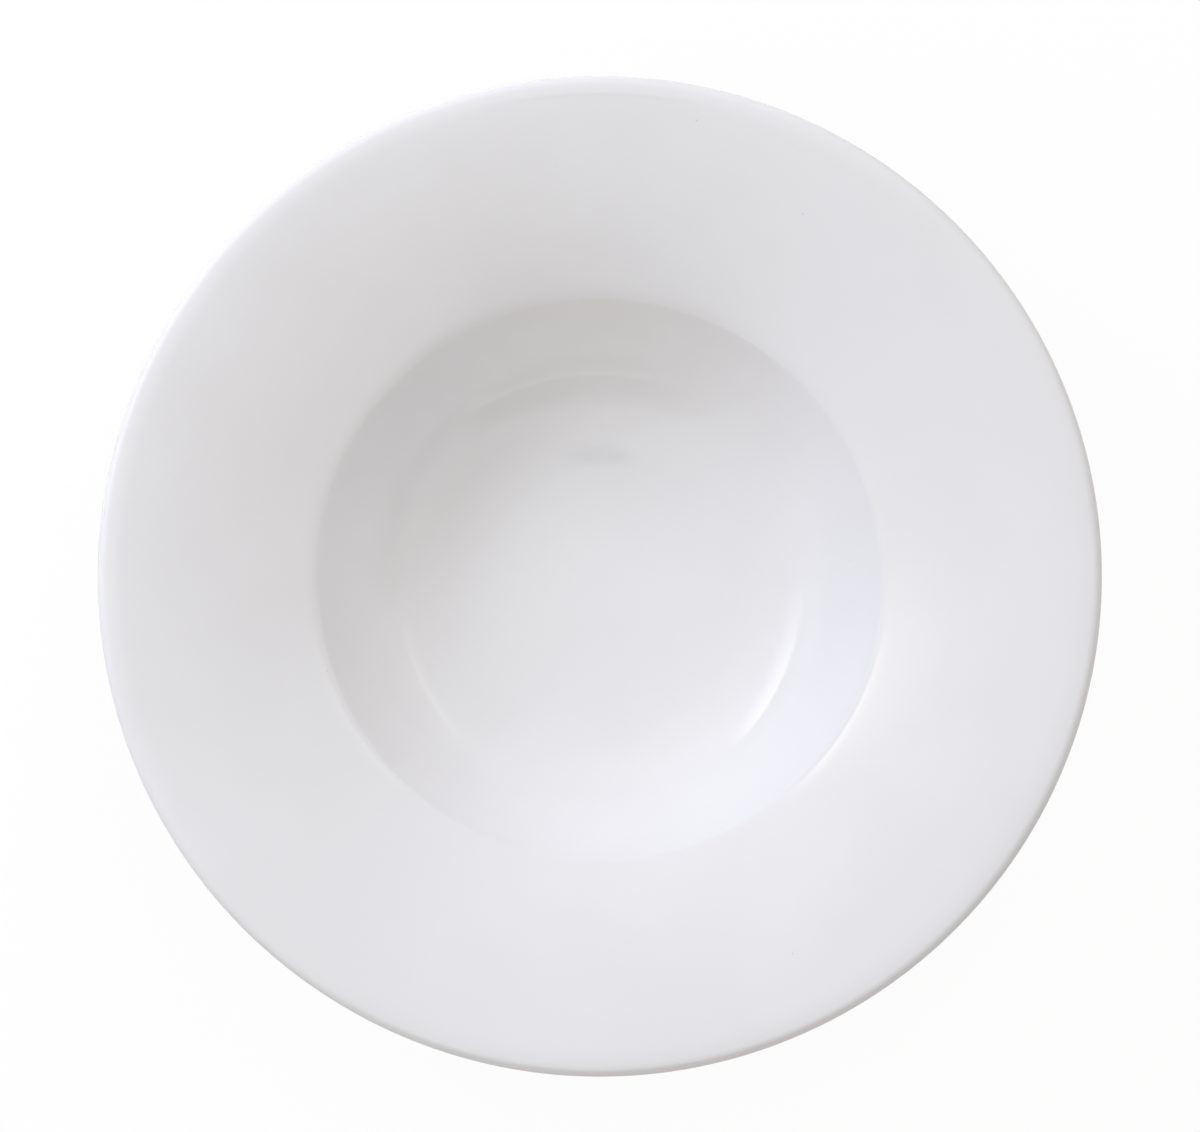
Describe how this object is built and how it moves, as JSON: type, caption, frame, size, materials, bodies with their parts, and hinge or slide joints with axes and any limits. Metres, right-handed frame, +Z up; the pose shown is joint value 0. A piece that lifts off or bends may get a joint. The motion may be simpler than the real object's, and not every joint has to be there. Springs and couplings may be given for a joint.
{
  "type": "deep plate",
  "caption": "Round white porcelain deep plate with a wide sloping rim, a bowl-shaped well and a foot ring, for serving pasta, soup or risotto.",
  "frame": {"origin": "centre of the foot ring, in the plane of the table that the plate stands on", "axes": "+Z up along the axis that the plate is turned about; the plate is round, so X and Y may point anywhere"},
  "size_m": [0.28, 0.28, 0.0572],
  "materials": {
    "biscuit": "matte, unglazed",
    "glaze": "gloss"
  },
  "bodies": {
    "root": {"porcelain_body": "biscuit", "glaze_coat": "glaze", "foot_recess_glaze": "glaze"}
  },
  "joints": []
}
